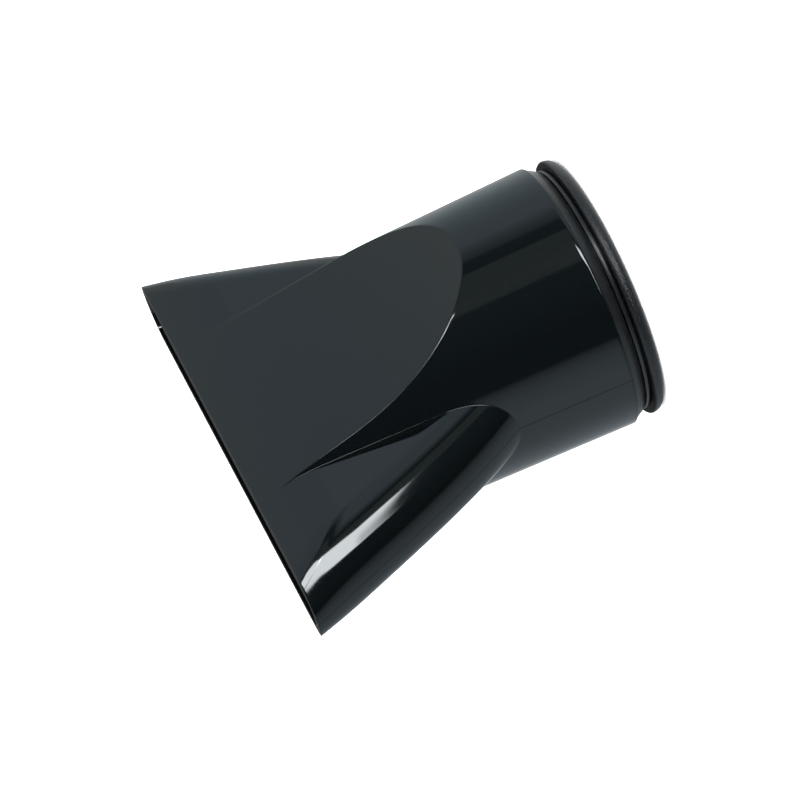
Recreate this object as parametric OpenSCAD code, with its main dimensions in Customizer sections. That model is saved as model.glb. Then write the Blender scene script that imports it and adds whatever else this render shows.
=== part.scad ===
// Concentrator nozzle for a hair dryer.
// It stands on its bead, with the slot at the top. X is the slot's long direction.
// The coupling collar slides over the dryer's outlet, and the nozzle turns on the collar.

/* [Coupling] */
// Bore of the collar that slides over the dryer's outlet
coupling_bore_d = 42; // [36:0.5:52]
// Depth of the bore, from the rear face to the stop lip
coupling_depth = 12.4; // [10:0.2:18]
// Wall of the collar's tube
collar_wall = 1.2; // [1:0.1:2]
// Length of the stop lip at the tube's front end
stop_l = 1; // [0.8:0.1:2]
// How far the stop lip stands into the bore
stop_h = 0.8; // [0.5:0.1:1.2]
// Entry chamfer of the bore
entry_chamfer = 0.4; // [0.2:0.1:0.6]

/* [Bead and bands] */
// Length of the grained bead along the axis
bead_l = 2.4; // [2:0.1:4]
// How far the bead stays inside the barrel's rear radius
bead_inset = 0.3; // [0:0.1:1]
// Radius of the bead's rear edge
bead_rear_round = 1.9; // [1:0.1:2]
// Radius of the bead's front edge
bead_front_round = 0.5; // [0.2:0.1:0.5]
// Width of the deep groove between the bead and the collar's band
groove_w = 0.3; // [0.2:0.05:0.6]
// Width of the collar's band
band_w = 0.75; // [0.6:0.05:1.5]
// How far the band stays inside the barrel's rear radius
band_inset = 1.7; // [1.4:0.1:1.8]
// Length of the end ring's tapered band
end_band_l = 1.95; // [1.5:0.05:3]
// How far the tapered band is inside the barrel's rear radius at the skin
end_band_front = 0.4; // [0.2:0.1:0.8]
// How far the tapered band is inside the barrel's rear radius at the collar
end_band_rear = 1.5; // [1:0.1:1.7]

/* [Bearing] */
// Wall of the end ring's neck, which the collar's tube turns in
neck_wall = 1.29; // [1:0.01:1.6]
// Length of the neck inside the skin
neck_l = 5.3; // [4:0.1:7]
// Radial clearance of the running fit between tube and neck
run_gap = 0.06; // [0.02:0.01:0.1]
// End play of the collar, which shows as the fine groove
end_play = 0.3; // [0.2:0.05:0.5]
// Thickness of the snap ring
clip_t = 0.9; // [0.6:0.1:1.2]
// Depth of the snap ring's groove
clip_depth = 0.6; // [0.4:0.1:0.7]
// How far the snap ring stands out of the tube
clip_h = 0.8; // [0.6:0.1:0.9]
// Opening of the snap ring
clip_gap = 8; // [4:0.5:12]
// Clearance on each side of the snap ring in its groove
clip_side_gap = 0.05; // [0.02:0.01:0.1]

/* [Skin] */
// Length of the gloss skin, from its rear edge to the mouth
skin_l = 69; // [57:0.5:84]
// Wall of the skin
skin_wall = 1.4; // [1.1:0.05:1.8]
// Taper of the barrel on each side, in degrees
barrel_taper = 1.5; // [0.5:0.02:3]
// Radial gap between the skin and the end ring's neck
press_gap = 0.05; // [0.02:0.01:0.1]

/* [Mouth and horns] */
// Width of the mouth over both horns
mouth_w = 94.4; // [78:0.2:114]
// Thickness of the mouth
mouth_t = 13.3; // [11:0.1:16]
// Thickness of the horns between the mouth and the barrel
horn_t = 18.2; // [15:0.1:22]
// Distance behind the mouth at which the horns reach that thickness
horn_peak = 14; // [10:0.1:20]
// Height above the skin's rear edge at which the horns leave the barrel
horn_start = 21.9; // [18:0.1:27]
// How far the horns' outline bows outwards of a straight line
horn_bow = 1.1; // [0:0.05:2]

/* [Oval flats] */
// Height above the skin's rear edge of the flat's rounded tip
flat_start = 18.7; // [16:0.1:23]
// Slope of the flat at its tip, rise over run
flat_tip_slope = 0.62; // [0.5:0.005:0.7]
// Slope of the flat at the mouth, rise over run
flat_lip_slope = 0.385; // [0.3:0.005:0.5]
// How far the tip's slope carries along the flat
flat_tip_reach = 24; // [18:0.5:30]
// How far the mouth's slope carries along the flat
flat_lip_reach = 16; // [12:0.1:20]

/* [Lining] */
// Air gap between the skin and the lining
air_gap = 0.8; // [0.6:0.05:1.2]
// Wall of the lining
duct_wall = 0.9; // [0.7:0.05:1.1]
// Fit between the lining and the skin's rib and lip
duct_fit = 0.05; // [0.02:0.01:0.1]
// How far the lining's front edge is set back from the mouth
duct_setback = 0.6; // [0:0.1:1.2]
// Gap between the collar's tube and the lining's rear edge
duct_rear_gap = 0.5; // [0.3:0.1:1]
// Length of the skin's lip that closes the air gap at the mouth
lip_l = 1.4; // [1:0.1:2.5]
// Distance of the supporting rib in front of the lining's rear edge
rib_offset = 3; // [2:0.5:6]
// Width of the supporting rib
rib_w = 1.2; // [0.8:0.1:2]

/* [Hidden] */
$fn = 96;

// Radii, from the bore outwards
bore_r = coupling_bore_d / 2;
tube_r = bore_r + collar_wall;
neck_bore_r = tube_r + run_gap;
neck_r = neck_bore_r + neck_wall;
pocket_r = neck_r + press_gap;
barrel_r = pocket_r + skin_wall;

// Heights, from the rear face forwards
band_z = bead_l + groove_w;
end_ring_z = band_z + band_w + end_play;
skin_z = end_ring_z + end_band_l;
neck_top_z = skin_z + neck_l;
clip_z = neck_top_z + end_play;
tube_top_z = coupling_depth + stop_l;
duct_z = tube_top_z + duct_rear_gap;
mouth_z = skin_z + skin_l;
rib_z = duct_z + rib_offset;

// Insets of the nested skins
duct_inset = skin_wall + air_gap;
seat_inset = duct_inset - duct_fit;
airway_inset = duct_inset + duct_wall;

// The horns are lofted from this far behind the mouth, which is inside the barrel
root_t = skin_l - horn_start;
loft_t = root_t * 1.08;
horn_rows = 9;
arc_steps = 6;
flat_steps = 12;
edge_steps = 8;
// Cutting solids run this far past the ends
over = 2;
big = 2 * (skin_l + mouth_w);

function barrel_r_at(z) = barrel_r - z * tan(barrel_taper);

// Half width and half thickness of the horns at a distance t behind the mouth
function horn_w(t) =
    let (s = t / root_t, root_w = barrel_r_at(horn_start))
    mouth_w / 2 - (mouth_w / 2 - root_w) * s + 6.75 * horn_bow * s * s * (1 - s);
function horn_r(t) = horn_t / 2 - (horn_t - mouth_t) / 2 * pow(max(0, 1 - t / horn_peak), 2);

// Upper half of a flat-oval section of the horns: two quarter circles joined by a straight line
function horn_section(t, inset, below) =
    let (r = horn_r(t) - inset, w = horn_w(t) - inset, z = skin_l - t)
    concat([for (side = [0, 1], i = [0 : arc_steps])
                let (a = 90 * (side + i / arc_steps))
                [(1 - 2 * side) * (w - r) + r * cos(a), r * sin(a), z]],
           below > 0 ? [[-w, -below, z], [w, -below, z]] : []);

// Side profile of the oval flats: a cubic curve from the tip down to the mouth's edge
function cubic(p, u) =
    pow(1 - u, 3) * p[0] + 3 * pow(1 - u, 2) * u * p[1] + 3 * (1 - u) * u * u * p[2] + pow(u, 3) * p[3];
flat_tip = [barrel_r_at(flat_start), flat_start];
flat_lip = [mouth_t / 2, skin_l];
flat_handles = [flat_tip,
                flat_tip + flat_tip_reach * [-flat_tip_slope, 1],
                flat_lip - flat_lip_reach * [-flat_lip_slope, 1],
                flat_lip];
flat_curve = [for (i = [0 : flat_steps]) cubic(flat_handles, i / flat_steps)];

// Points of an arc about a centre, from angle a0 to a1
function arc(centre, r, a0, a1) =
    [for (i = [0 : edge_steps]) let (a = a0 + (a1 - a0) * i / edge_steps) centre + r * [cos(a), sin(a)]];

// Upper half of the flat-oval body of the two horns
module horns(inset, past, below) {
    t_steps = [for (i = [0 : horn_rows]) -past + (loft_t + past) * pow(i / horn_rows, 1.4)];
    n = len(horn_section(0, inset, below));
    points = [for (t = t_steps) each horn_section(t, inset, below)];
    walls = [for (row = [0 : horn_rows - 1], i = [0 : n - 1])
        let (a = row * n + i, b = row * n + (i + 1) % n)
        each [[a, b, a + n], [b, b + n, a + n]]];
    mouth_cap = [for (i = [n - 1 : -1 : 0]) i];
    root_cap = [for (i = [0 : n - 1]) horn_rows * n + i];
    polyhedron(points, concat(walls, [mouth_cap, root_cap]));
}

// Space under the upper oval flat, down to the mid plane or a little below it
module under_flat(inset, past, below) {
    rise = over + 1;
    before = flat_tip + rise * [1, -1 / flat_tip_slope];
    after = flat_lip + max(past, 0.01) * [-flat_lip_slope, 1];
    rear = before[1] - skin_l;
    side = concat([[before[0], rear], before], flat_curve, [after]);
    inner = [for (p = side) [p[0] - inset, p[1]]];
    outline = concat([[-below, rear]], inner, [[-below, after[1]]]);
    rotate([90, 0, 90]) linear_extrude(big, center = true) polygon(outline);
}

// Upper half of the nozzle's outer form, or of a nested form inside it.
// A cutting form runs past both ends and below the mid plane.
module nozzle_form(inset, past = 0, below = 0) {
    translate([0, 0, skin_z]) {
        intersection() {
            translate([0, 0, -past])
                cylinder(h = skin_l + 2 * past, r1 = barrel_r_at(-past) - inset,
                         r2 = barrel_r_at(skin_l + past) - inset);
            under_flat(inset, past, below);
        }
        horns(inset, past, below);
    }
}

// Everything between two heights
module slab(z0, z1) {
    translate([-big / 2, -big / 2, z0]) cube([big, big, z1 - z0]);
}

module half_skin() {
    difference() {
        nozzle_form(0);
        nozzle_form(seat_inset, over, over);
        intersection() {
            nozzle_form(skin_wall, over, over);
            union() {
                slab(skin_z - over, rib_z);
                slab(rib_z + rib_w, mouth_z - lip_l);
            }
        }
        translate([0, 0, skin_z - over]) cylinder(h = over + neck_l, r = pocket_r);
    }
}

module half_lining() {
    difference() {
        intersection() {
            nozzle_form(duct_inset);
            slab(duct_z, mouth_z - duct_setback);
        }
        nozzle_form(airway_inset, over, over);
    }
}

module upper_shell() {
    color([0.05, 0.055, 0.06]) half_skin();
}

module lower_shell() {
    color([0.05, 0.055, 0.06]) mirror([0, 1, 0]) half_skin();
}

module upper_duct() {
    color([0.13, 0.13, 0.14]) half_lining();
}

module lower_duct() {
    color([0.13, 0.13, 0.14]) mirror([0, 1, 0]) half_lining();
}

module end_ring() {
    profile = [[neck_bore_r, end_ring_z], [barrel_r - end_band_rear, end_ring_z],
               [barrel_r - end_band_front, skin_z], [neck_r, skin_z],
               [neck_r, neck_top_z], [neck_bore_r, neck_top_z]];
    color([0.16, 0.16, 0.17]) rotate_extrude() polygon(profile);
}

module coupling_collar() {
    clip_groove_z = clip_z - clip_side_gap;
    clip_groove_top = clip_z + clip_t + clip_side_gap;
    profile = [[bore_r + entry_chamfer, 0], [tube_r, 0], [tube_r, band_z],
               [barrel_r - band_inset, band_z], [barrel_r - band_inset, band_z + band_w],
               [tube_r, band_z + band_w], [tube_r, clip_groove_z],
               [tube_r - clip_depth, clip_groove_z], [tube_r - clip_depth, clip_groove_top],
               [tube_r, clip_groove_top], [tube_r, tube_top_z],
               [bore_r - stop_h, tube_top_z], [bore_r - stop_h, coupling_depth],
               [bore_r, coupling_depth], [bore_r, entry_chamfer]];
    color([0.16, 0.16, 0.17]) rotate_extrude() polygon(profile);
}

module bead_ring() {
    bead_r = barrel_r - bead_inset;
    rear = arc([bead_r - bead_rear_round, bead_rear_round], bead_rear_round, -90, 0);
    front = arc([bead_r - bead_front_round, bead_l - bead_front_round], bead_front_round, 0, 90);
    color([0.1, 0.1, 0.1]) rotate_extrude()
        polygon(concat([[tube_r, 0]], rear, front, [[tube_r, bead_l]]));
}

module retaining_ring() {
    color([0.7, 0.71, 0.72]) difference() {
        translate([0, 0, clip_z]) cylinder(h = clip_t, r = tube_r + clip_h);
        translate([0, 0, clip_z - 1]) cylinder(h = clip_t + 2, r = tube_r - clip_depth + clip_side_gap);
        translate([0, -clip_gap / 2, clip_z - 1]) cube([barrel_r, clip_gap, clip_t + 2]);
    }
}

upper_shell();
lower_shell();
upper_duct();
lower_duct();
end_ring();
coupling_collar();
bead_ring();
retaining_ring();
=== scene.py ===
# %% [markdown]
# # A concentrator nozzle for a hair dryer
# The nozzle slips over the dryer's outlet and flattens its round stream of air into a wide, thin slot.
# It is made of eight pieces. Two gloss shells, upper and lower, meet on a fine parting line. Two lining
# halves sit inside them. The rear is a small swivel: an end ring pressed into the shells turns on a
# coupling collar, a snap ring holds the two together, and a grained bead covers the collar's rear edge.
#
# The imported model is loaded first. It is the fixed frame: its bodies, its joint and its box stay as they
# are, and every piece below is made in the same place, in metres.

# %% Load the frame
from math import acos, asin, atan2, cos, pi, radians, sin, sqrt, tan

import bpy
from mathutils import Matrix, Vector


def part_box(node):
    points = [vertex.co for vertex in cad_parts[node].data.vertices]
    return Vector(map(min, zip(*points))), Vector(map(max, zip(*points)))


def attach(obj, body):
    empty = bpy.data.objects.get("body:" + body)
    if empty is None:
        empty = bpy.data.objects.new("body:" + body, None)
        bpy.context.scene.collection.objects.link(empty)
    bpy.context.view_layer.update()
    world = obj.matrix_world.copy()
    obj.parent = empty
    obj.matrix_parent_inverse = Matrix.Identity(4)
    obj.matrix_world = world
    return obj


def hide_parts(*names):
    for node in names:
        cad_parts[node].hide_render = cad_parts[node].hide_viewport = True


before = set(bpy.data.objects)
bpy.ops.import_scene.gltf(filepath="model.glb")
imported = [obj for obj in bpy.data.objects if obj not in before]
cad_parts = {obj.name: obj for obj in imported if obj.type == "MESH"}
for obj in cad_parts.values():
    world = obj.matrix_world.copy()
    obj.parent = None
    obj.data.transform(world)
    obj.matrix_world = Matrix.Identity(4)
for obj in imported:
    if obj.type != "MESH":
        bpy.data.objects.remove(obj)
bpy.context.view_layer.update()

# %% [markdown]
# ## The camera
# The nozzle lies across the picture, with its mouth down and to the left. The camera is long, so the
# shape is almost free of perspective. Three angles describe the view: how far the nozzle's axis drops
# below the horizontal of the picture, how far its mouth leans towards the eye, and how far the nozzle
# is turned about its own axis. The camera's own right, up and back directions are worked out from them.

# %% Place the camera
MM = 0.001
AXIS_DROP = radians(24.281)
AXIS_LEAN = radians(6.395)
AXIS_TURN = radians(45.75)
CAMERA_DISTANCE = 648.7 * MM
CAMERA_LENS = 162.66
AIM_POINT = Vector((0, 0, 5.7)) * MM
AIM_RIGHT = -31.87 * MM
AIM_UP = -18.66 * MM


def camera_directions():
    """The picture's right, up and back, each as a direction in the nozzle's frame."""
    eye_z = Vector((-cos(AXIS_DROP) * cos(AXIS_LEAN), -sin(AXIS_DROP) * cos(AXIS_LEAN), sin(AXIS_LEAN)))
    towards_eye = Vector((0, 0, 1))
    eye_y = (towards_eye - eye_z * towards_eye.dot(eye_z)).normalized()
    eye_x = eye_y.cross(eye_z)
    turned_x = eye_x * cos(AXIS_TURN) + eye_y * sin(AXIS_TURN)
    turned_y = eye_y * cos(AXIS_TURN) - eye_x * sin(AXIS_TURN)
    return [Vector((turned_x[i], turned_y[i], eye_z[i])) for i in range(3)]


picture_right, picture_up, picture_back = camera_directions()
camera_data = bpy.data.cameras.new("camera")
camera_data.lens = CAMERA_LENS
camera_data.sensor_width = 36
camera = bpy.data.objects.new("camera", camera_data)
bpy.context.scene.collection.objects.link(camera)
camera_place = AIM_POINT + picture_back * CAMERA_DISTANCE + picture_right * AIM_RIGHT + picture_up * AIM_UP
turn = Matrix((picture_right, picture_up, picture_back)).transposed()
camera.matrix_world = Matrix.Translation(camera_place) @ turn.to_4x4()
bpy.context.scene.camera = camera
print("camera at", [round(c / MM) for c in camera_place], "mm")

# %% [markdown]
# ## The sizes
# All sizes are in millimetres. The rings' heights are counted from the rear face of the whole nozzle,
# and the heights `z` of the shells and the lining from the shells' rear edge, which lies `SKIN_Z` above
# that face. An inset is how far a surface lies inside the skin's outside.

# %% Sizes in millimetres
# Radii, from the sliding bore outwards
BORE_R = 21.0
TUBE_R = 22.2
NECK_BORE_R = 22.26
NECK_R = 23.55
BARREL_R = 25.0
BARREL_TAPER = radians(1.5)

# The rings, from the rear face forwards
BEAD_L = 2.4
BEAD_INSET = 0.3
BAND_Z = 2.7
BAND_W = 0.75
BAND_INSET = 1.7
END_RING_Z = 3.75
END_BAND_REAR = 1.5
END_BAND_FRONT = 0.4
SKIN_Z = 5.7
NECK_TOP_Z = 11.0
CLIP_Z = 11.3
CLIP_T = 0.9
CLIP_DEPTH = 0.6
CLIP_H = 0.8
CLIP_GAP = 8.0
CLIP_SIDE_GAP = 0.05
COUPLING_DEPTH = 12.4
TUBE_TOP_Z = 13.4
STOP_H = 0.8
ENTRY_CHAMFER = 0.4

# The shells and the lining inside them
SKIN_L = 69.0
SKIN_WALL = 1.4
SEAT_INSET = 2.15
DUCT_INSET = 2.2
AIRWAY_INSET = 3.1
NECK_L = 5.3
DUCT_REAR = 8.2
DUCT_FRONT = 68.4
RIB_Z = 11.2
RIB_W = 1.2
LIP_L = 1.4

# The outer form: the mouth, the horns and the oval flats
MOUTH_W = 94.4
MOUTH_T = 13.3
HORN_T = 18.2
HORN_START = 21.9
HORN_BOW = 1.1
FLAT_START = 18.7
FLAT_TIP_SLOPE = 0.62
FLAT_LIP_SLOPE = 0.385
FLAT_TIP_REACH = 24.0
FLAT_LIP_REACH = 16.0
low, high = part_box("upper_shell")
print("shell in the frame:", [round(v / MM, 1) for v in (*low, *high)], "mm")

# %% [markdown]
# ## The outer form as three surfaces
# The skin looks complicated, but it is three simple surfaces that cut each other. A cone is the barrel.
# An oval flat slices the cone from a rounded tip down to the mouth. Two horns, a flat oval that grows
# wide and thin, come out of the barrel's sides. A fourth region is what is left of the cone between a
# flat and a horn: a wedge that narrows to nothing just behind the mouth.
#
# Near the mouth the flat and the horns' top are one face. Where the flat rises past the horns' own
# thickness, the horns' top levels off in a soft curve, and the wedge of barrel opens between the two.
#
# The horns' outline is a straight line with a slight bow, which leaves the mouth's corners straight. The
# product share * share * (1 - share) peaks at 4/27, so a factor of 27/4 makes `HORN_BOW` the most it adds.

# %% Widths and heights along the nozzle
HORN_L = SKIN_L - HORN_START
BOW_FACTOR = 27 / 4
LEVEL_BLEND = 1.1


def barrel_r(z):
    return BARREL_R - z * tan(BARREL_TAPER)


def horn_half_width(z):
    share = (SKIN_L - z) / HORN_L
    straight = MOUTH_W / 2 - (MOUTH_W / 2 - barrel_r(HORN_START)) * share
    return straight + BOW_FACTOR * HORN_BOW * share**2 * (1 - share)


def cubic(ends, u):
    a, b, c, d = ends
    return (1 - u)**3 * a + 3 * (1 - u)**2 * u * b + 3 * (1 - u) * u**2 * c + u**3 * d


FLAT_Y = (barrel_r(FLAT_START), barrel_r(FLAT_START) - FLAT_TIP_REACH * FLAT_TIP_SLOPE,
          MOUTH_T / 2 + FLAT_LIP_REACH * FLAT_LIP_SLOPE, MOUTH_T / 2)
FLAT_Z = (FLAT_START, FLAT_START + FLAT_TIP_REACH, SKIN_L - FLAT_LIP_REACH, SKIN_L)
HALVINGS = 40


def flat_height(z):
    """Height of the oval flat over the mid plane. The place on the curve is closed in on by halving."""
    near, far = 0.0, 1.0
    for _ in range(HALVINGS):
        u = (near + far) / 2
        if cubic(FLAT_Z, u) < z:
            near = u
        else:
            far = u
    return cubic(FLAT_Y, near)


def levels(z):
    """Heights of the flat and of the horns' top."""
    flat = flat_height(z)
    past = flat - HORN_T / 2
    if past < -LEVEL_BLEND:
        return flat, flat
    if past > LEVEL_BLEND:
        return flat, HORN_T / 2
    return flat, HORN_T / 2 - (LEVEL_BLEND - past)**2 / (4 * LEVEL_BLEND)


for z in (20, 40, 60):
    print("at", z, "mm: barrel", round(barrel_r(z), 2), "flat and horn", [round(y, 2) for y in levels(z)])

# %% [markdown]
# ## Points on the surfaces
# Each function below gives a point of one surface, set in by `inset`: the cone from an angle, the flat
# from a distance to the centre line, and the horn from a distance `s` along its section, which starts
# at the parting line, turns through a quarter circle and goes on straight.

# %% Points on the cone, the flat and the horn
def on_cone(angle, z, inset):
    r = barrel_r(z) - inset
    return Vector((r * cos(angle), r * sin(angle), z))


def on_flat(x, z, inset):
    return Vector((x, levels(z)[0] - inset, z))


def on_horn(s, z, inset):
    r = levels(z)[1] - inset
    centre = horn_half_width(z) - levels(z)[1]
    if s > r * pi / 2:
        return Vector((centre - (s - r * pi / 2), r, z))
    return Vector((centre + r * cos(s / r), r * sin(s / r), z))


def along_horn(point, inset):
    """The distance along the horn's section at which a point lies."""
    r = levels(point.z)[1] - inset
    centre = horn_half_width(point.z) - levels(point.z)[1]
    if point.x > centre:
        return r * atan2(point.y, point.x - centre)
    return r * pi / 2 + centre - point.x


print("horn at its widest, 60 mm up:", [round(c, 2) for c in on_horn(0, 60, 0)])

# %% [markdown]
# The direction that a surface faces comes from its slopes, taken over a very small step.

# %% Normals of the three surfaces
STEP = 0.01


def slope(function, z):
    return (function(z + STEP) - function(z - STEP)) / (2 * STEP)


def cone_normal(point):
    angle = atan2(point.y, point.x)
    return Vector((cos(angle), sin(angle), tan(BARREL_TAPER))).normalized()


def flat_normal(point):
    return Vector((0, 1, -slope(lambda z: levels(z)[0], point.z))).normalized()


def horn_normal(point, inset):
    r_slope = slope(lambda z: levels(z)[1], point.z)
    centre_slope = slope(horn_half_width, point.z) - r_slope
    angle = min(pi / 2, along_horn(point, inset) / (levels(point.z)[1] - inset))
    return Vector((cos(angle), sin(angle), -(centre_slope * cos(angle) + r_slope))).normalized()


print("flat at 40 mm faces", [round(c, 2) for c in flat_normal(on_flat(0, 40, 0))])

# %% [markdown]
# ## Where the surfaces meet
# The flat's edge and the horn's foot are curves on the cone, found by solving for the width at which
# both surfaces have the same height. The horn's foot near the parting line lies on the horn's rounded
# side, so it is solved there as the meeting of two circles.

# %% Edges of the flats and feet of the horns
PARTING_GROOVE = 0.05


def flat_edge(z, inset):
    r, y = barrel_r(z) - inset, levels(z)[0] - inset
    return Vector((sqrt(max(0, r * r - y * y)), y, z))


def horn_foot(z, inset):
    big, r = barrel_r(z) - inset, levels(z)[1] - inset
    centre = horn_half_width(z) - levels(z)[1]
    if centre**2 + r**2 > big**2:
        return Vector((sqrt(big**2 - r**2), r, z))
    angle = acos(min(1, (big**2 - r**2 - centre**2) / (2 * r * centre)))
    return Vector((centre + r * cos(angle), max(PARTING_GROOVE, r * sin(angle)), z))


print("flat's edge at 30 mm:", [round(c, 2) for c in flat_edge(30, 0)])
print("horn's foot at 30 mm:", [round(c, 2) for c in horn_foot(30, 0)])

# %% [markdown]
# A moulded edge is never knife sharp, so each curve becomes a narrow rounded strip: its two sides are
# stepped off across the edge, one on each surface, and a curve with the edge as its control point joins
# them, which leaves both surfaces smoothly. Where the wedge runs out, the strips narrow with it.

# %% Round the edges
EDGE_RADIUS = 0.5
FOOT_RADIUS = 0.2
ROOM_SHARE = 0.3


def edge_step(radius, normal_a, normal_b, room):
    """How far a rounding of that radius reaches from the edge on each surface."""
    corner = acos(max(-1, min(1, normal_a.dot(normal_b))))
    return min(radius * tan(corner / 2), ROOM_SHARE * room)


def flat_edge_strip(z, inset, room):
    """Side on the flat, edge, side on the cone."""
    edge = flat_edge(z, inset)
    flat_n, cone_n = flat_normal(edge), cone_normal(edge)
    along = cone_n.cross(flat_n).normalized()
    reach = edge_step(EDGE_RADIUS, flat_n, cone_n, room)
    on_flat_side = edge + along.cross(flat_n) * reach * -1
    on_cone_side = edge + along.cross(cone_n) * reach
    if (on_flat_side - edge).dot(cone_n) > 0:
        on_flat_side, on_cone_side = 2 * edge - on_flat_side, 2 * edge - on_cone_side
    a = on_flat(max(0, on_flat_side.x), on_flat_side.z, inset)
    b = on_cone(min(pi / 2, atan2(on_cone_side.y, on_cone_side.x)), on_cone_side.z, inset)
    return a, edge, b


def horn_foot_strip(z, inset, room):
    """Side on the horn, foot, side on the cone."""
    foot = horn_foot(z, inset)
    horn_n, cone_n = horn_normal(foot, inset), cone_normal(foot)
    along = horn_n.cross(cone_n).normalized()
    reach = edge_step(FOOT_RADIUS, horn_n, cone_n, room)
    to_horn = along.cross(horn_n) * reach
    to_cone = along.cross(cone_n) * reach * -1
    if to_horn.dot(cone_n) < 0:
        to_horn, to_cone = -to_horn, -to_cone
    horn_side, cone_side = foot + to_horn, foot + to_cone
    s = max(PARTING_GROOVE, along_horn(horn_side, inset))
    a = on_horn(s, horn_side.z, inset)
    b = on_cone(max(asin(PARTING_GROOVE / (barrel_r(z) - inset)), atan2(cone_side.y, cone_side.x)),
                cone_side.z, inset)
    return a, foot, b


def rounded(strip, share):
    a, edge, b = strip
    return (1 - share)**2 * a + 2 * share * (1 - share) * edge + share**2 * b


side_a, _, side_b = flat_edge_strip(30, 0, BARREL_R)
print("rounding of the flat's edge is", round((side_a - side_b).length, 2), "mm wide at 30 mm")

# %% [markdown]
# ## Laying a grid on a surface
# Faces of even size, in rows that follow the form, give clean reflections in gloss plastic, which a
# Boolean between meshes can't. So each region of the skin starts as a flat grid from Add > Mesh > Grid,
# with as many cells as the region needs, and each of its points is then moved to its place on the
# surface. Neighbouring grids share their edge points, so they merge into one mesh without a seam.

# %% Helpers for meshes
def deselect():
    bpy.ops.object.select_all(action="DESELECT")


def make_active(piece):
    deselect()
    piece.select_set(True)
    bpy.context.view_layer.objects.active = piece


def grid(columns, rows, place):
    """A grid whose point in that column and row is moved to place(column, row), in millimetres."""
    deselect()
    bpy.ops.mesh.primitive_grid_add(x_subdivisions=columns, y_subdivisions=rows, size=1)
    patch = bpy.context.object
    for point in patch.data.vertices:
        column = round((point.co.x + 0.5) * columns)
        row = round((point.co.y + 0.5) * rows)
        point.co = (place(column, row) + Vector((0, 0, SKIN_Z))) * MM
    return patch


def join(name, pieces):
    make_active(pieces[0])
    for piece in pieces:
        piece.select_set(True)
    bpy.ops.object.join()
    pieces[0].name = name
    pieces[0].data.name = name
    return pieces[0]


def spread(count, *ends):
    """count + 1 shares from 0 to 1, evenly spaced, with the first and last cells narrowed to ends."""
    shares = [i / count for i in range(count + 1)]
    if ends:
        shares[1:-1] = [ends[0] + (1 - ends[0] - ends[1]) * i / (count - 2) for i in range(count - 1)]
    return shares


print("shares of four cells:", spread(4, 0.1, 0.1))

# %% [markdown]
# ## Rows and columns
# The rows crowd towards the rounded tip of the flat and the root of the horn, where both edges turn
# fastest. The first and last column of a region are narrow, so the bend at its border stays tight and
# the shading of the region itself stays even.

# %% Rows and columns of the regions
# Heights at which the wedge's rows start and have run out, and up to which the barrel is plain
WEDGE_Z = 27.0
APEX_Z = SKIN_L - 4.2
SHOULDER_Z = 14.0
FLAT_CELLS = 18
EDGE_CELLS = 4
WEDGE_CELLS = 14
HORN_CELLS = 44
TIP_ROWS = 16
ROOT_ROWS = 14
BODY_ROWS = 44
SHOULDER_ROWS = 12

flat_shares = spread(FLAT_CELLS, 0.05, 0.025)
wedge_shares = spread(WEDGE_CELLS, 0.03, 0.03)
horn_shares = spread(HORN_CELLS, 0.012, 0.012)
shoulder_shares = spread(SHOULDER_ROWS, 0.05, 0.06)
body_heights = [WEDGE_Z + (APEX_Z - WEDGE_Z) * j / BODY_ROWS for j in range(BODY_ROWS + 1)]
tip_heights = [FLAT_START + (WEDGE_Z - FLAT_START) * (j / TIP_ROWS)**2 for j in range(TIP_ROWS)]
root_heights = [HORN_START + (WEDGE_Z - HORN_START) * (j / ROOT_ROWS)**2 for j in range(ROOT_ROWS)]
print("rows:", len(tip_heights), "at the tip,", len(root_heights), "at the root,", len(body_heights), "on")

# %% [markdown]
# ## The regions of a quarter
# The skin's outside, its inside and both sides of the lining are the same form at four insets, so one
# function lays the regions at any inset: the flat, the rounded edge, the wedge, the foot, the horn and
# the shoulder of the barrel.

# %% Lay the regions at one inset
def mix_on_cone(a, b, share, inset):
    """A point of the cone between two of its points."""
    angle_a, angle_b = atan2(a.y, a.x), atan2(b.y, b.x)
    return on_cone(angle_a + (angle_b - angle_a) * share, a.z + (b.z - a.z) * share, inset)


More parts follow.
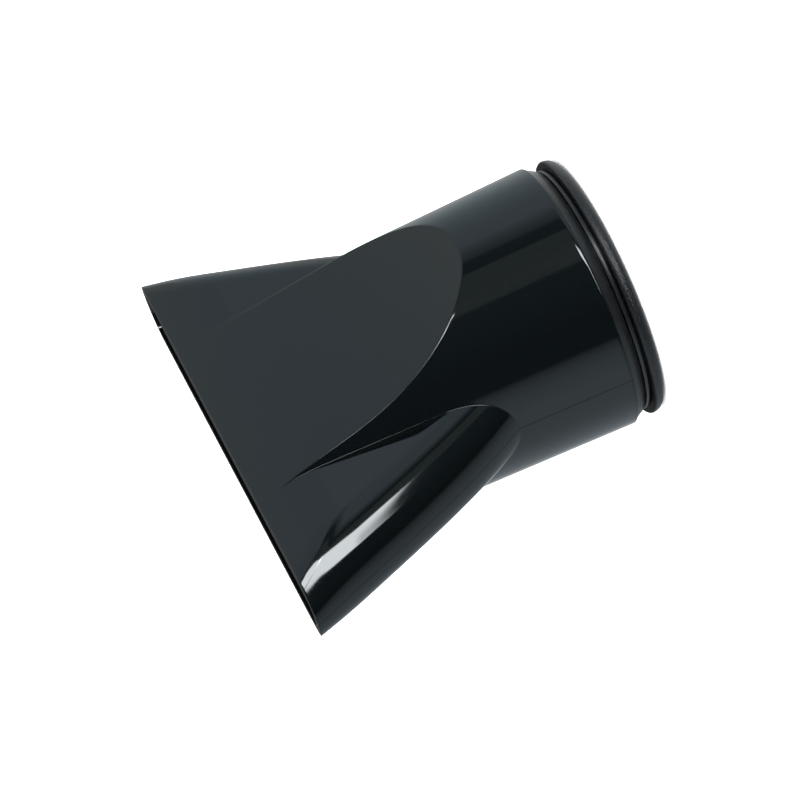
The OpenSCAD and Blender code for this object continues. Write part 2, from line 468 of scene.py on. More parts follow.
def upper_regions(inset):
    """Flat, edge, wedge, foot, horn and shoulder at one inset, as a list of grids."""
    def room(z):
        if z >= APEX_Z - STEP:
            return 0
        return (flat_edge(z, inset) - horn_foot(z, inset)).length if z > WEDGE_Z else BARREL_R

    edges = [flat_edge_strip(z, inset, room(z)) for z in tip_heights + body_heights]
    feet = [horn_foot_strip(z, inset, room(z)) for z in root_heights + body_heights]

    def flat_point(i, j):
        side = edges[j][0]
        return on_flat(side.x * flat_shares[i], side.z, inset)

    def horn_point(i, j):
        side = feet[j][0]
        s = along_horn(side, inset)
        return on_horn(PARTING_GROOVE + (s - PARTING_GROOVE) * horn_shares[i], side.z, inset)

    def wedge_point(i, j):
        return mix_on_cone(feet[j + ROOT_ROWS][2], edges[j + TIP_ROWS][2], wedge_shares[i], inset)

    # The shoulder's upper border: up the horn's foot, across the wedge and up round the flat's tip
    border = [foot[2] for foot in feet[:ROOT_ROWS]]
    border += [wedge_point(i, 0) for i in range(WEDGE_CELLS + 1)]
    border += [edge[2] for edge in reversed(edges[:TIP_ROWS])]

    def shoulder_point(i, j):
        top = border[i]
        z = SHOULDER_Z + (top.z - SHOULDER_Z) * shoulder_shares[j]
        return on_cone(atan2(top.y, top.x), z, inset)

    rows = TIP_ROWS + BODY_ROWS
    grids = [grid(FLAT_CELLS, rows, flat_point),
             grid(EDGE_CELLS, rows, lambda i, j: rounded(edges[j], i / EDGE_CELLS)),
             grid(WEDGE_CELLS, BODY_ROWS, wedge_point),
             grid(EDGE_CELLS, ROOT_ROWS + BODY_ROWS, lambda i, j: rounded(feet[j], i / EDGE_CELLS)),
             grid(HORN_CELLS, ROOT_ROWS + BODY_ROWS, horn_point),
             grid(len(border) - 1, SHOULDER_ROWS, shoulder_point)]
    return grids, [atan2(p.y, p.x) for p in border]


# %% [markdown]
# ## One quarter of a nested shell
# A quarter is the outside regions, the inside regions, and two more grids that join them: the plain rear
# of the barrel and the lip block at the mouth. These two are given as paths of (height, inset), which
# run round the end from the outside to the inside. That is where the rims, the ribs and the seats are.

# %% Lay a quarter
def lip_point(i, z, inset):
    """Point i of the lip block's row, from the centre line over the flat and the horn to the parting."""
    foot = horn_foot(z, inset)
    if i <= FLAT_CELLS:
        return on_flat(foot.x * flat_shares[i], z, inset)
    s = along_horn(foot, inset)
    share = horn_shares[HORN_CELLS - (i - FLAT_CELLS)]
    return on_horn(PARTING_GROOVE + (s - PARTING_GROOVE) * share, z, inset)


def nested_quarter(outer, inner, rear_path, lip_path):
    """The quarter x > 0, y > 0 of a shell between two insets."""
    outside, outer_angles = upper_regions(outer)
    inside, inner_angles = upper_regions(inner)

    def rear_point(i, j):
        z, inset = rear_path[j]
        share = j / (len(rear_path) - 1)
        return on_cone(outer_angles[i] + (inner_angles[i] - outer_angles[i]) * share, z, inset)

    rear = grid(len(outer_angles) - 1, len(rear_path) - 1, rear_point)
    lip = grid(FLAT_CELLS + HORN_CELLS, len(lip_path) - 1, lambda i, j: lip_point(i, *lip_path[j]))
    return outside + inside + [rear, lip]


def quarter_round(z, inset, radius, out, start, end, steps=4):
    """A rounded corner of a path: out is +1 where it leads forwards, -1 where it leads to the rear."""
    turns = [start + (end - start) * k / steps for k in range(steps + 1)]
    return [(z + out * radius * sin(a), inset - radius * cos(a)) for a in turns]


def rows_between(z0, z1, count):
    return [z0 + (z1 - z0) * k / count for k in range(count + 1)]


corner_path = quarter_round(1, 1, 1, 1, 0, pi / 2)
print("a rounded corner as a path:", [(round(z, 2), round(inset, 2)) for z, inset in corner_path])

# %% [markdown]
# ## From a quarter to a half
# The two halves of a skin meet on a line so fine that it shows only because both edges are broken a
# little. So the open border of a quarter is extruded down to the mid plane, and its outer edge is drawn
# in by the groove's depth. Mirror makes the other quarter, and filling the two open borders makes the
# flat faces on which the halves are joined.

# %% Build a half
# How near points are merged, how near the centre line a point is put on it, and how far in from the
# outline the border still counts as its outer edge
MERGE_MM = 0.004
ON_CENTRE_MM = 0.001
GROOVE_REACH = 0.35


def build_half(name, outer, inner, rear_path, lip_path, groove):
    """Upper half of a nested shell. groove is how far its outer edge is broken at the parting."""
    half = join(name, nested_quarter(outer, inner, rear_path, lip_path))
    bpy.ops.object.mode_set(mode="EDIT")
    bpy.ops.mesh.select_all(action="SELECT")
    bpy.ops.mesh.remove_doubles(threshold=MERGE_MM * MM)
    bpy.ops.mesh.select_all(action="DESELECT")
    bpy.ops.mesh.select_mode(type="EDGE")
    bpy.ops.mesh.select_non_manifold()
    bpy.ops.object.mode_set(mode="OBJECT")
    near_parting = PARTING_GROOVE * 1.5 * MM
    for edge in half.data.edges:
        ends = [half.data.vertices[i] for i in edge.vertices]
        if max(p.co.y for p in ends) > near_parting:
            edge.select = False
    border = {i for edge in half.data.edges if edge.select for i in edge.vertices}
    print(name, "border points at the parting:", len(border))
    for point in half.data.vertices:
        point.select = point.index in border
    bpy.ops.object.mode_set(mode="EDIT")
    bpy.ops.mesh.extrude_edges_move()
    bpy.ops.object.mode_set(mode="OBJECT")
    for point in half.data.vertices:
        if point.select:
            z = point.co.z / MM - SKIN_Z
            outline = max(barrel_r(z), horn_half_width(z) if z > HORN_START else 0) - outer
            point.co.y = 0
            if point.co.x / MM > outline - GROOVE_REACH:
                point.co.x -= groove * MM
        elif point.co.x < ON_CENTRE_MM * MM:
            point.co.x = 0
    mirror = half.modifiers.new("other side", "MIRROR")
    mirror.use_clip = True
    mirror.merge_threshold = MERGE_MM * MM
    bpy.ops.object.modifier_apply(modifier=mirror.name)
    bpy.ops.object.mode_set(mode="EDIT")
    bpy.ops.mesh.select_all(action="SELECT")
    bpy.ops.mesh.fill_holes(sides=0)
    bpy.ops.mesh.normals_make_consistent(inside=False)
    bpy.ops.object.mode_set(mode="OBJECT")
    return half


# %% [markdown]
# Every piece ends the same way: faces that meet at a shallow angle are shaded as one, sharper edges stay
# sharp, and its open edges are counted. A closed piece has none.

# %% Shade and check a piece
SMOOTH_ANGLE = radians(32)


def finish_smooth(piece):
    make_active(piece)
    bpy.ops.object.shade_smooth_by_angle(angle=SMOOTH_ANGLE)
    bpy.ops.object.mode_set(mode="EDIT")
    bpy.ops.mesh.select_all(action="DESELECT")
    bpy.ops.mesh.select_mode(type="EDGE")
    bpy.ops.mesh.select_non_manifold()
    bpy.ops.object.mode_set(mode="OBJECT")
    open_edges = sum(edge.select for edge in piece.data.edges)
    piece.data.calc_loop_triangles()
    print(piece.name, "triangles:", len(piece.data.loop_triangles), "open edges:", open_edges)


# %% [markdown]
# ## The gloss shells
# On the real nozzle each shell is moulded in black ABS against a polished steel cavity. The rear rim has
# a small radius and the mouth a finer one. Inside, the rear has a pocket for the end ring's neck and a
# rib that carries the lining, and the lip at the mouth closes the air gap round the lining's front.

# %% Build the upper shell
REAR_RIM = 0.4
MOUTH_RIM = 0.15
GROOVE_DEPTH = 0.25
POCKET_TAPER = NECK_L * tan(BARREL_TAPER)

skin_rear = [(z, 0) for z in rows_between(SHOULDER_Z, REAR_RIM * 2, 8)]
skin_rear += quarter_round(REAR_RIM, REAR_RIM, REAR_RIM, -1, 0, pi / 2)
skin_rear += [(0, SKIN_WALL), (NECK_L, SKIN_WALL - POCKET_TAPER), (NECK_L, SKIN_WALL),
              (RIB_Z, SKIN_WALL), (RIB_Z, SEAT_INSET), (RIB_Z + RIB_W, SEAT_INSET),
              (RIB_Z + RIB_W, SKIN_WALL), (SHOULDER_Z, SKIN_WALL)]
skin_lip = [(z, 0) for z in rows_between(APEX_Z, SKIN_L - MOUTH_RIM * 2, 6)]
skin_lip += quarter_round(SKIN_L - MOUTH_RIM, MOUTH_RIM, MOUTH_RIM, 1, 0, pi / 2)
skin_lip += [(SKIN_L, SEAT_INSET), (SKIN_L - LIP_L, SEAT_INSET), (SKIN_L - LIP_L, SKIN_WALL)]
skin_lip += [(z, SKIN_WALL) for z in rows_between(SKIN_L - LIP_L, APEX_Z, 5)[1:]]
upper_shell = build_half("upper_shell_skin", 0, SKIN_WALL, skin_rear, skin_lip, GROOVE_DEPTH)
finish_smooth(upper_shell)

# %% [markdown]
# ## The lower shell
# Both shells come out of the same cavity shape, turned over. The lower one is a copy with its own mesh,
# mirrored across the mid plane. A mirrored mesh is inside out, so its normals are made consistent again.

# %% Copy the lower half
def turned_over(piece, name):
    make_active(piece)
    bpy.ops.object.duplicate(linked=False)
    copy = bpy.context.object
    copy.name = name
    copy.data.name = name
    bpy.ops.object.mode_set(mode="EDIT")
    bpy.ops.mesh.select_all(action="SELECT")
    bpy.ops.transform.mirror(constraint_axis=(False, True, False), center_override=(0, 0, 0))
    bpy.ops.mesh.normals_make_consistent(inside=False)
    bpy.ops.object.mode_set(mode="OBJECT")
    finish_smooth(copy)
    return copy


lower_shell = turned_over(upper_shell, "lower_shell_skin")

# %% [markdown]
# ## The lining
# The lining carries the hot air and keeps it off the gloss skin, with an air gap between the two. It is
# the same form again, set further in and a little shorter, with a small chamfer on its end edges. It
# stays a separate pair of pieces, because that is how the skin can stay cool enough to touch.

# %% Build the lining halves
LINING_CHAMFER = 0.15


def chamfered_end(z, back):
    """A path round an end of the lining, from its outside to its airway."""
    set_back = z - back * LINING_CHAMFER
    return [(set_back, DUCT_INSET), (z, DUCT_INSET + LINING_CHAMFER),
            (z, AIRWAY_INSET - LINING_CHAMFER), (set_back, AIRWAY_INSET)]


duct_rear = [(z, DUCT_INSET) for z in rows_between(SHOULDER_Z, DUCT_REAR, 4)[:-1]]
duct_rear += chamfered_end(DUCT_REAR, -1)
duct_rear += [(z, AIRWAY_INSET) for z in rows_between(DUCT_REAR, SHOULDER_Z, 4)[1:]]
duct_lip = [(z, DUCT_INSET) for z in rows_between(APEX_Z, DUCT_FRONT, 4)[:-1]]
duct_lip += chamfered_end(DUCT_FRONT, 1)
duct_lip += [(z, AIRWAY_INSET) for z in rows_between(DUCT_FRONT, APEX_Z, 4)[1:]]
upper_duct = build_half("upper_lining", DUCT_INSET, AIRWAY_INSET, duct_rear, duct_lip, 0)
finish_smooth(upper_duct)
lower_duct = turned_over(upper_duct, "lower_lining")

# %% [markdown]
# ## The rings
# The four rear pieces are turned shapes. Each starts as a circle of as many points as its section has
# corners. The points are moved to the section, corners that a mould rounds are bevelled, and Spin carries
# the section round the axis. The sections keep the running gaps of the joint: 0.06 mm round the tube,
# and 0.3 mm of end play, which is the fine groove that can be seen between the bands.

# %% Spin a section into a ring
SPIN_STEPS = 192


def spun(name, section, rounds=(), gap=0.0):
    """A ring of a section given as (radius, height) corners. rounds holds (corner, radius, cells)."""
    deselect()
    bpy.ops.mesh.primitive_circle_add(vertices=len(section), radius=1, fill_type="NOTHING")
    ring = bpy.context.object
    ring.name = name
    ring.data.name = name
    for point, (r, z) in zip(ring.data.vertices, section):
        point.co = Vector((r, 0, z)) * MM
    for corner, radius, cells in rounds:
        place = Vector((section[corner][0], 0, section[corner][1])) * MM
        bpy.ops.object.mode_set(mode="EDIT")
        bpy.ops.mesh.select_mode(type="VERT")
        bpy.ops.mesh.select_all(action="DESELECT")
        bpy.ops.object.mode_set(mode="OBJECT")
        nearest = min(ring.data.vertices, key=lambda p: (p.co - place).length)
        nearest.select = True
        bpy.ops.object.mode_set(mode="EDIT")
        bpy.ops.mesh.bevel(offset=radius * MM, segments=cells, affect="VERTICES")
        bpy.ops.object.mode_set(mode="OBJECT")
    bpy.ops.object.mode_set(mode="EDIT")
    bpy.ops.mesh.select_all(action="SELECT")
    if gap:
        bpy.ops.mesh.edge_face_add()
    sweep = gap - 2 * pi if gap else 2 * pi
    bpy.ops.mesh.spin(steps=SPIN_STEPS, angle=sweep, center=(0, 0, 0), axis=(0, 0, 1))
    bpy.ops.mesh.select_all(action="SELECT")
    bpy.ops.mesh.remove_doubles(threshold=0.002 * MM)
    if gap:
        bpy.ops.mesh.select_all(action="DESELECT")
        bpy.ops.mesh.select_mode(type="EDGE")
        bpy.ops.mesh.select_non_manifold()
        bpy.ops.mesh.fill_holes(sides=0)
    bpy.ops.mesh.select_all(action="SELECT")
    bpy.ops.mesh.normals_make_consistent(inside=False)
    bpy.ops.object.mode_set(mode="OBJECT")
    finish_smooth(ring)
    return ring


# %% [markdown]
# The bead is the widest part of the rear: a thick ring with a broad rear rounding, moulded onto the
# collar's tube. Its inner side and its flat rear face stay square.

# %% Bead
BEAD_REAR_ROUND = 1.9
BEAD_FRONT_ROUND = 0.5
bead_r = BARREL_R - BEAD_INSET
bead = spun("bead", [(TUBE_R, 0), (bead_r, 0), (bead_r, BEAD_L), (TUBE_R, BEAD_L)],
            rounds=[(1, BEAD_REAR_ROUND, 12), (2, BEAD_FRONT_ROUND, 5)])

# %% [markdown]
# The end ring shows as a tapered band just behind the gloss skin. Its neck goes 5 mm into the skin and is
# the bearing that the collar's tube turns in.

# %% End ring
BAND_EDGE = 0.14
band_front = BARREL_R - END_BAND_FRONT
band_rear = BARREL_R - END_BAND_REAR
end_ring = spun("end_ring_band",
                [(NECK_BORE_R, END_RING_Z), (band_rear, END_RING_Z), (band_front, SKIN_Z),
                 (NECK_R, SKIN_Z), (NECK_R, NECK_TOP_Z), (NECK_BORE_R, NECK_TOP_Z)],
                rounds=[(1, BAND_EDGE, 3), (4, BAND_EDGE, 2), (5, BAND_EDGE, 2)])

# %% [markdown]
# The collar is what slides over the dryer's outlet. Its tube ends in a stop lip, a groove near that end
# holds the snap ring, and its outer band closes the gap between the bead and the end ring.

# %% Coupling collar
TUBE_EDGE = 0.2
clip_floor = TUBE_R - CLIP_DEPTH
collar_band_r = BARREL_R - BAND_INSET
collar = spun("collar",
              [(BORE_R + ENTRY_CHAMFER, 0), (TUBE_R, 0), (TUBE_R, BAND_Z),
               (collar_band_r, BAND_Z), (collar_band_r, BAND_Z + BAND_W), (TUBE_R, BAND_Z + BAND_W),
               (TUBE_R, CLIP_Z - CLIP_SIDE_GAP), (clip_floor, CLIP_Z - CLIP_SIDE_GAP),
               (clip_floor, CLIP_Z + CLIP_T + CLIP_SIDE_GAP), (TUBE_R, CLIP_Z + CLIP_T + CLIP_SIDE_GAP),
               (TUBE_R, TUBE_TOP_Z), (BORE_R - STOP_H, TUBE_TOP_Z),
               (BORE_R - STOP_H, COUPLING_DEPTH), (BORE_R, COUPLING_DEPTH), (BORE_R, ENTRY_CHAMFER)],
              rounds=[(3, BAND_EDGE, 3), (4, BAND_EDGE, 3),
                      (10, TUBE_EDGE, 3), (11, TUBE_EDGE, 3), (12, TUBE_EDGE, 3)])

# %% [markdown]
# The snap ring is a flat spring steel ring, stamped open so that it can be spread over the tube. It is
# spun less than a full turn, and its two ends are closed.

# %% Snap ring
CLIP_EDGE = 0.1
clip_out = TUBE_R + CLIP_H
clip_in = clip_floor + CLIP_SIDE_GAP
snap_ring = spun("snap_ring", [(clip_in, CLIP_Z), (clip_out, CLIP_Z),
                               (clip_out, CLIP_Z + CLIP_T), (clip_in, CLIP_Z + CLIP_T)],
                 rounds=[(k, CLIP_EDGE, 2) for k in range(4)], gap=CLIP_GAP / TUBE_R)
make_active(snap_ring)
bpy.ops.object.mode_set(mode="EDIT")
bpy.ops.mesh.select_all(action="SELECT")
bpy.ops.transform.rotate(value=CLIP_GAP / TUBE_R / 2, orient_axis="Z", center_override=(0, 0, 0))
bpy.ops.object.mode_set(mode="OBJECT")

# %% [markdown]
# ## Materials
# Every finish is a node material that reads Object coordinates, which are metres in the nozzle's frame.
# One function turns a hex colour into Blender's linear values, one adds a node with its settings and
# links. Grain sizes are given in millimetres, and a noise texture's scale is one over the grain's size.

# %% Helpers for materials
def linear(hex_colour):
    channels = [int(hex_colour[k:k + 2], 16) / 255 for k in (1, 3, 5)]
    return tuple(c / 12.92 if c <= 0.04045 else ((c + 0.055) / 1.055)**2.4 for c in channels) + (1,)


def add_node(tree, kind, settings=(), values=(), links=()):
    """A node with its settings, its socket values and its links, given as (input, node, output)."""
    node = tree.nodes.new(kind)
    for setting, value in dict(settings).items():
        setattr(node, setting, value)
    for socket, value in dict(values).items():
        node.inputs[socket].default_value = value
    for socket, source, output in links:
        tree.links.new(source.outputs[output], node.inputs[socket])
    return node


def start_material(name, **shader_values):
    """A material with its shader and Object coordinates: returns material, tree, shader, coordinates."""
    material = bpy.data.materials.new(name)
    material.use_nodes = True
    tree = material.node_tree
    shader = tree.nodes["Principled BSDF"]
    for socket, value in shader_values.items():
        shader.inputs[socket.replace("_", " ")].default_value = value
    return material, tree, shader, add_node(tree, "ShaderNodeTexCoord")


def per_grain(size_mm):
    return 1 / (size_mm * MM)


def paint(piece, material):
    piece.data.materials.clear()
    piece.data.materials.append(material)
    print(piece.name, "is", material.name)


# %% [markdown]
# ### Gloss black ABS
# The skin is ABS moulded against mirror-polished steel. That gives the eye a deep blue-black colour with
# sharp, dark reflections. No moulding is optically flat: the plastic shrinks a little as it cools, so
# straight reflections run with a slow wave of about 10 mm, and the polish leaves a very fine haze.

# %% Gloss black ABS
SHRINK_WAVE_MM = 11.0
POLISH_HAZE_MM = 0.9

gloss_abs, tree, shader, coords = start_material(
    "polished black ABS", Base_Color=linear("#020303"), Roughness=0.05, IOR=1.53)
wave = add_node(tree, "ShaderNodeTexNoise", values={"Scale": per_grain(SHRINK_WAVE_MM), "Detail": 1.0},
                links=[("Vector", coords, "Object")])
shrink = add_node(tree, "ShaderNodeBump", values={"Strength": 0.04, "Distance": 0.02 * MM},
                  links=[("Height", wave, "Fac")])
haze = add_node(tree, "ShaderNodeTexNoise", values={"Scale": per_grain(POLISH_HAZE_MM), "Detail": 3.0},
                links=[("Vector", coords, "Object")])
polish = add_node(tree, "ShaderNodeMapRange", values={"To Min": 0.03, "To Max": 0.075},
                  links=[("Value", haze, "Fac")])
tree.links.new(shrink.outputs["Normal"], shader.inputs["Normal"])
tree.links.new(polish.outputs["Result"], shader.inputs["Roughness"])
for shell in (upper_shell, lower_shell):
    paint(shell, gloss_abs)

# %% [markdown]
# ### Satin black nylon
# The end ring and the collar are glass-filled nylon, a bearing plastic, moulded against a blasted cavity.
# It gives the eye a softer, greyer black with broad highlights and a fine even tooth.

# %% Satin black nylon
BLASTED_GRAIN_MM = 0.16

satin_nylon, tree, shader, coords = start_material(
    "satin black nylon", Base_Color=linear("#0f1011"), Roughness=0.4, IOR=1.53)
grain = add_node(tree, "ShaderNodeTexNoise", values={"Scale": per_grain(BLASTED_GRAIN_MM), "Detail": 2.0},
                 links=[("Vector", coords, "Object")])
tooth = add_node(tree, "ShaderNodeBump", values={"Strength": 0.25, "Distance": 0.02 * MM},
                 links=[("Height", grain, "Fac")])
rub = add_node(tree, "ShaderNodeTexNoise", values={"Scale": per_grain(6.0), "Detail": 2.0},
               links=[("Vector", coords, "Object")])
polish = add_node(tree, "ShaderNodeMapRange", values={"To Min": 0.26, "To Max": 0.36},
                  links=[("Value", rub, "Fac")])
tree.links.new(tooth.outputs["Normal"], shader.inputs["Normal"])
tree.links.new(polish.outputs["Result"], shader.inputs["Roughness"])
for ring in (end_ring, collar):
    paint(ring, satin_nylon)

# %% [markdown]
# ### Grained elastomer
# The bead is a thermoplastic elastomer with a spark-eroded grain, like fine leather. It gives the eye a
# dull black in which single grains catch the light and sparkle.

# %% Grained elastomer
SPARK_GRAIN_MM = 0.22

elastomer, tree, shader, coords = start_material(
    "grained elastomer", Base_Color=linear("#0b0c0d"), Roughness=0.34, IOR=1.5)
cells = add_node(tree, "ShaderNodeTexVoronoi", settings={"feature": "SMOOTH_F1"},
                 values={"Scale": per_grain(SPARK_GRAIN_MM), "Smoothness": 0.6},
                 links=[("Vector", coords, "Object")])
fine = add_node(tree, "ShaderNodeTexNoise", values={"Scale": per_grain(SPARK_GRAIN_MM * 1.3), "Detail": 2.0},
                links=[("Vector", coords, "Object")])
both = add_node(tree, "ShaderNodeMath", settings={"operation": "ADD"},
                links=[(0, cells, "Distance"), (1, fine, "Fac")])
pits = add_node(tree, "ShaderNodeBump", values={"Strength": 0.8, "Distance": 0.07 * MM},
                links=[("Height", both, "Value")])
polish = add_node(tree, "ShaderNodeMapRange", values={"To Min": 0.24, "To Max": 0.42},
                  links=[("Value", fine, "Fac")])
tree.links.new(pits.outputs["Normal"], shader.inputs["Normal"])
tree.links.new(polish.outputs["Result"], shader.inputs["Roughness"])
paint(bead, elastomer)

# %% [markdown]
# ### Lining nylon
# The lining is heat-resistant nylon straight from a turned cavity. It gives the eye a plain dark grey
# without shine, with faint flow marks that run with the air.

# %% Lining nylon
FLOW_MARK_MM = 2.5

lining_nylon, tree, shader, coords = start_material(
    "heat-resistant nylon", Base_Color=linear("#101112"), Roughness=0.55, IOR=1.53)
stretch = add_node(tree, "ShaderNodeMapping", values={"Scale": (1, 1, 0.15)},
                   links=[("Vector", coords, "Object")])
flow = add_node(tree, "ShaderNodeTexNoise", values={"Scale": per_grain(FLOW_MARK_MM), "Detail": 4.0},
                links=[("Vector", stretch, "Vector")])
marks = add_node(tree, "ShaderNodeMapRange", values={"To Min": 0.46, "To Max": 0.66},
                 links=[("Value", flow, "Fac")])
ripple = add_node(tree, "ShaderNodeBump", values={"Strength": 0.3, "Distance": 0.03 * MM},
                  links=[("Height", flow, "Fac")])
tree.links.new(marks.outputs["Result"], shader.inputs["Roughness"])
tree.links.new(ripple.outputs["Normal"], shader.inputs["Normal"])
for duct in (upper_duct, lower_duct):
    paint(duct, lining_nylon)

# %% [markdown]
# ### Spring steel
# The snap ring is stamped from cold-rolled strip. It gives the eye a cool grey metal with fine lines
# that lie all one way, because the strip was rolled before the ring was stamped.

# %% Spring steel
ROLLING_LINE_MM = 0.12

spring_steel, tree, shader, coords = start_material(
    "rolled spring steel", Base_Color=linear("#9aa0a6"), Metallic=1.0, Roughness=0.3)
stretch = add_node(tree, "ShaderNodeMapping", values={"Scale": (0.02, 1, 1)},
                   links=[("Vector", coords, "Object")])
lines = add_node(tree, "ShaderNodeTexNoise", values={"Scale": per_grain(ROLLING_LINE_MM), "Detail": 2.0},
                 links=[("Vector", stretch, "Vector")])
sheen = add_node(tree, "ShaderNodeMapRange", values={"To Min": 0.22, "To Max": 0.4},
                 links=[("Value", lines, "Fac")])
tree.links.new(sheen.outputs["Result"], shader.inputs["Roughness"])
paint(snap_ring, spring_steel)

# %% [markdown]
# ## Pieces and bodies
# Each piece stands for its CAD node and rides on that node's body: the collar, the bead and the snap ring
# stay on the dryer, and all the rest turns.

# %% Put the pieces on their bodies
PIECES = [(upper_shell, "upper_shell", "nozzle", "gloss_black_abs"),
          (lower_shell, "lower_shell", "nozzle", "gloss_black_abs"),
          (upper_duct, "upper_duct", "nozzle", "lining_nylon"),
          (lower_duct, "lower_duct", "nozzle", "lining_nylon"),
          (end_ring, "end_ring", "nozzle", "satin_black_nylon"),
          (collar, "coupling_collar", "coupling", "satin_black_nylon"),
          (bead, "bead_ring", "coupling", "grained_elastomer"),
          (snap_ring, "retaining_ring", "coupling", "spring_steel")]
for piece, node, body, slot in PIECES:
    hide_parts(node)
    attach(piece, body)
print("pieces that turn:", [piece.name for piece, node, body, slot in PIECES if body == "nozzle"])

# %% [markdown]
# ## The studio
# Gloss black shows nothing but what stands round it, so the studio is the finish. White screens stand at
# the back and the sides. The side of the camera is open and dark, which gives the deep black band along
# the barrel. Where a screen ends, its edge draws a line on the plastic.
#
# The screens are far away, so they are drawn into the world's colour by direction. A direction is read
# as a turn round the nozzle's axis, counted from the middle of the opening, and a rise over the floor.

# %% Read the direction
scene = bpy.context.scene
scene.view_settings.view_transform = "Standard"
OPENING_TURN = radians(54)

world = bpy.data.worlds.new("studio")
scene.world = world
world.use_nodes = True
world.cycles.sampling_method = "NONE"
tree = world.node_tree


def math_node(operation, *inputs):
    """A Math node whose inputs are numbers or (node, output)."""
    node = add_node(tree, "ShaderNodeMath", settings={"operation": operation})
    for k, value in enumerate(inputs):
        if isinstance(value, tuple):
            tree.links.new(value[0].outputs[value[1]], node.inputs[k])
        else:
            node.inputs[k].default_value = value
    return node, "Value"


def share_between(source, start, end, low_value=0.0, high_value=1.0, soft="LINEAR"):
    """low_value until source passes start, in degrees, and high_value once it has passed end."""
    node = add_node(tree, "ShaderNodeMapRange", settings={"interpolation_type": soft},
                    values={"From Min": radians(start), "From Max": radians(end),
                            "To Min": low_value, "To Max": high_value}, links=[("Value", *source)])
    return node, "Result"


direction = add_node(tree, "ShaderNodeTexCoord")
turned = add_node(tree, "ShaderNodeVectorRotate", settings={"rotation_type": "Z_AXIS"},
                  values={"Angle": -OPENING_TURN}, links=[("Vector", direction, "Generated")])
parts = add_node(tree, "ShaderNodeSeparateXYZ", links=[("Vector", turned, "Vector")])
azimuth = math_node("ARCTAN2", (parts, "Y"), (parts, "X"))
rise = math_node("ARCSINE", (parts, "Z"))
print("the opening faces", [round(c, 2) for c in (cos(OPENING_TURN), sin(OPENING_TURN))])

# %% [markdown]
# The screens are one ramp of colour round the axis. Their edges aren't upright: towards the floor, and
# again above the mouth, the right side leans in and makes the opening narrower, and towards the floor
# the left side leans out. A factor on the turn, for each side, does that.

# %% White screens
# Turn from the middle of the opening, in degrees, and the screen's colour there
SCREENS = [(-180, "#dce0e2"), (-170, "#bec6c8"), (-160, "#b0bac2"), (-120, "#b6c6ce"), (-86, "#d2e2ec"),
           (-70, "#c4d6e0"), (-61, "#aab9c3"), (-56, "#8c9aa4"), (-54, "#42505a"), (-30, "#42505a"),
           (4, "#566670"), (14, "#566670"), (16, "#8d9c9e"), (45, "#8d9c9e"), (46, "#54626c"),
           (56, "#5a6972"), (58, "#8494a0"), (66, "#a8b8c4"), (74, "#c8dbec"), (92, "#bfd4e0"),
           (115, "#bdd0dc"), (135, "#c8d4d8"), (152, "#c0c8ca"), (166, "#aab0b0"), (180, "#dce0e2")]

lean_low_right = share_between(rise, -8, -18, 1.0, 1.65, "SMOOTHSTEP")
lean_high_right = share_between(rise, -4, -1, 1.0, 1.4, "SMOOTHSTEP")
lean_low_left = share_between(rise, -7, -45, 1.0, 0.75, "SMOOTHSTEP")
lean_right = math_node("MULTIPLY", lean_low_right, lean_high_right)
on_right = math_node("MULTIPLY", math_node("MAXIMUM", azimuth, 0.0), lean_right)
on_left = math_node("MULTIPLY", math_node("MINIMUM", azimuth, 0.0), lean_low_left)
leaning_turn = math_node("ADD", on_right, on_left)
place_on_ramp = math_node("ADD", math_node("DIVIDE", leaning_turn, 2 * pi), 0.5)
ramp = add_node(tree, "ShaderNodeValToRGB", links=[("Fac", *place_on_ramp)])
stops = ramp.color_ramp.elements
while len(stops) < len(SCREENS):
    stops.new(0.5)
for stop, (turn_degrees, colour) in zip(stops, SCREENS):
    stop.position = turn_degrees / 360 + 0.5
for stop, (turn_degrees, colour) in zip(stops, SCREENS):
    stop.color = linear(colour)
print("stops of colour round the axis:", len(stops))

# %% [markdown]
# Two parts of the studio are darker than the screens. The screens on the left stand on dull stands, so
# they are dimmer from below, and the wall behind the rear screens is dark above them.

# %% Dull stands and dark wall
# A Mix node has sockets for numbers, vectors and colours: these are the colours' places among them
MIX_A, MIX_B, MIX_RESULT = 6, 7, 2

below = share_between(rise, -8.5, -17, 0.0, 0.35)
left = share_between(azimuth, -46, -60)
not_rear = share_between(azimuth, -180, -176)
stands = math_node("MULTIPLY", math_node("MULTIPLY", left, not_rear), below)
above = share_between(rise, -3, 2, 0.0, 0.85)
behind = share_between(math_node("ABSOLUTE", azimuth), 128, 145)
darker = math_node("MAXIMUM", stands, math_node("MULTIPLY", above, behind))
dimmed = add_node(tree, "ShaderNodeMix", settings={"data_type": "RGBA"}, values={MIX_B: (0, 0, 0, 1)},
                  links=[("Factor", *darker), (MIX_A, ramp, "Color")])
print("darker parts: the stands on the left, the wall at the rear")

# %% [markdown]
# One bright strip light makes the long white highlight on the near horn. It stands slanted, so it is
# drawn as what lies inside four straight sides. The last side cuts it off below the height from which
# the barrel would see it too.

# %% Strip light
# Each side as (factor of the turn, factor of the rise, degrees): their sum is over 0 inside the strip
STRIP_SIDES = [(-0.222, 1.0, 36.8), (1.0, -1.21, -30.2), (-1.0, 0.72, 36.4), (0.0, -1.0, -9.5)]
STRIP_COLOUR = (14.0, 14.8, 15.2, 1)
STRIP_SOFT = 1.0

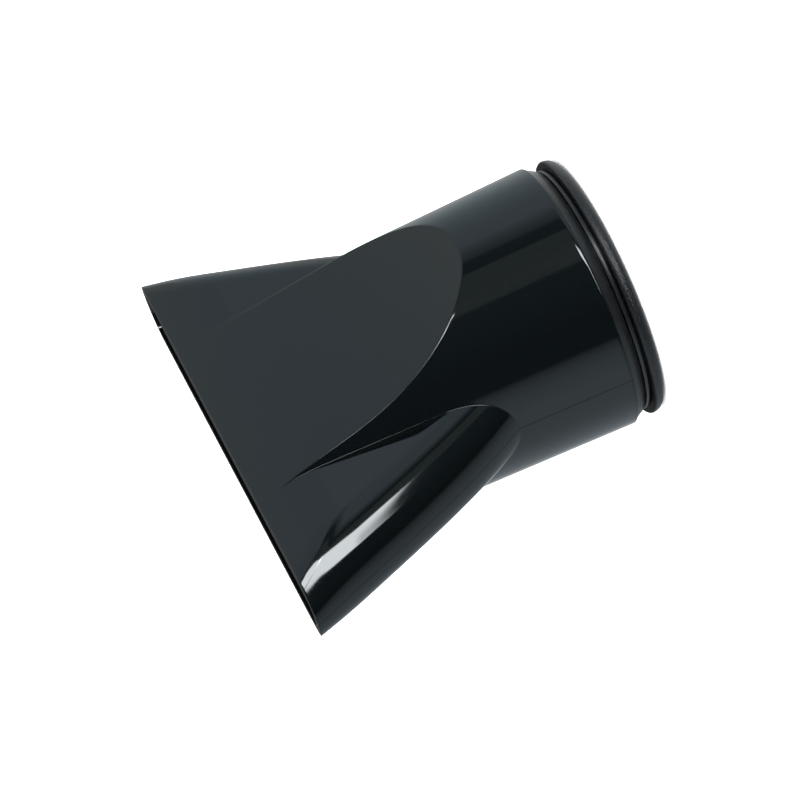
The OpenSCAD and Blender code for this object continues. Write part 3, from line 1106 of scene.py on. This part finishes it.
within = []
for of_turn, of_rise, offset in STRIP_SIDES:
    side = math_node("ADD", math_node("MULTIPLY", azimuth, of_turn), math_node("MULTIPLY", rise, of_rise))
    past_side = math_node("ADD", side, radians(offset))
    within.append(share_between(past_side, -STRIP_SOFT, STRIP_SOFT, soft="SMOOTHSTEP"))
across = math_node("MULTIPLY", within[0], within[1])
along = math_node("MULTIPLY", within[2], within[3])
lit = add_node(tree, "ShaderNodeMix", settings={"data_type": "RGBA"}, values={MIX_B: STRIP_COLOUR},
               links=[("Factor", *math_node("MULTIPLY", across, along)), (MIX_A, dimmed, MIX_RESULT)])
print("sides of the strip:", len(within))

# %% [markdown]
# Only glossy rays see the screens and the strip. To the camera and to the floor the world is plain white,
# bright enough that the floor stays white round the nozzle.

# %% What each ray sees
FLOOR_LIGHT = 3.0

ray = add_node(tree, "ShaderNodeLightPath")
plain_white = (FLOOR_LIGHT, FLOOR_LIGHT, FLOOR_LIGHT, 1)
seen = add_node(tree, "ShaderNodeMix", settings={"data_type": "RGBA"}, values={MIX_A: plain_white},
                links=[("Factor", ray, "Is Glossy Ray"), (MIX_B, lit, MIX_RESULT)])
tree.links.new(seen.outputs[MIX_RESULT], tree.nodes["Background"].inputs["Color"])
print("nodes of the studio:", len(tree.nodes))

# %% [markdown]
# The strip's upper end stands close to the mouth, where only the horn can see it and the barrel can't.
# That end is a small area light of its own, turned to carry the strip's line on.

# %% Upper end of the strip
END_PLACE = Vector((60, 252, 68)) * MM
MOUTH_CORNER = Vector((44, 8, 72)) * MM
END_SLANT = Vector((-0.65, 0, 0.76))
END_LENGTH = 105 * MM
END_WIDTH = 34 * MM
END_COLOUR = (0.93, 0.97, 1.0)
END_RADIANCE = 15.0

end_data = bpy.data.lights.new("strip end", "AREA")
end_data.shape = "RECTANGLE"
end_data.size = END_LENGTH
end_data.size_y = END_WIDTH
end_data.color = END_COLOUR
end_data.energy = END_RADIANCE * pi * END_LENGTH * END_WIDTH
strip_end = bpy.data.objects.new("strip end", end_data)
scene.collection.objects.link(strip_end)
outwards = (END_PLACE - MOUTH_CORNER).normalized()
long_way = (END_SLANT - outwards * END_SLANT.dot(outwards)).normalized()
axes = Matrix((long_way, outwards.cross(long_way), outwards)).transposed()
strip_end.matrix_world = Matrix.Translation(END_PLACE) @ axes.to_4x4()
strip_end.visible_camera = False
print("strip end:", round(END_LENGTH / MM), "by", round(END_WIDTH / MM), "mm")

# %% [markdown]
# ## The floor
# The nozzle stands on its bead on a pale floor, a wide disc that lies a hair below the rear faces. The
# floor isn't reflected, because it would fill the lower half of every gloss surface with white.

# %% Floor
FLOOR_R = 3.0
FLOOR_Z = -0.02 * MM
deselect()
bpy.ops.mesh.primitive_circle_add(vertices=128, radius=FLOOR_R, fill_type="NGON", location=(0, 0, FLOOR_Z))
floor = bpy.context.object
floor.name = "floor"
floor.visible_glossy = False
pale, tree, shader, coords = start_material("pale paper", Base_Color=linear("#fbfbfb"), Roughness=0.9)
fibre = add_node(tree, "ShaderNodeTexNoise", values={"Scale": per_grain(1.5), "Detail": 2.0},
                 links=[("Vector", coords, "Object")])
nap = add_node(tree, "ShaderNodeBump", values={"Strength": 0.05, "Distance": 0.05 * MM},
               links=[("Height", fibre, "Fac")])
tree.links.new(nap.outputs["Normal"], shader.inputs["Normal"])
paint(floor, pale)
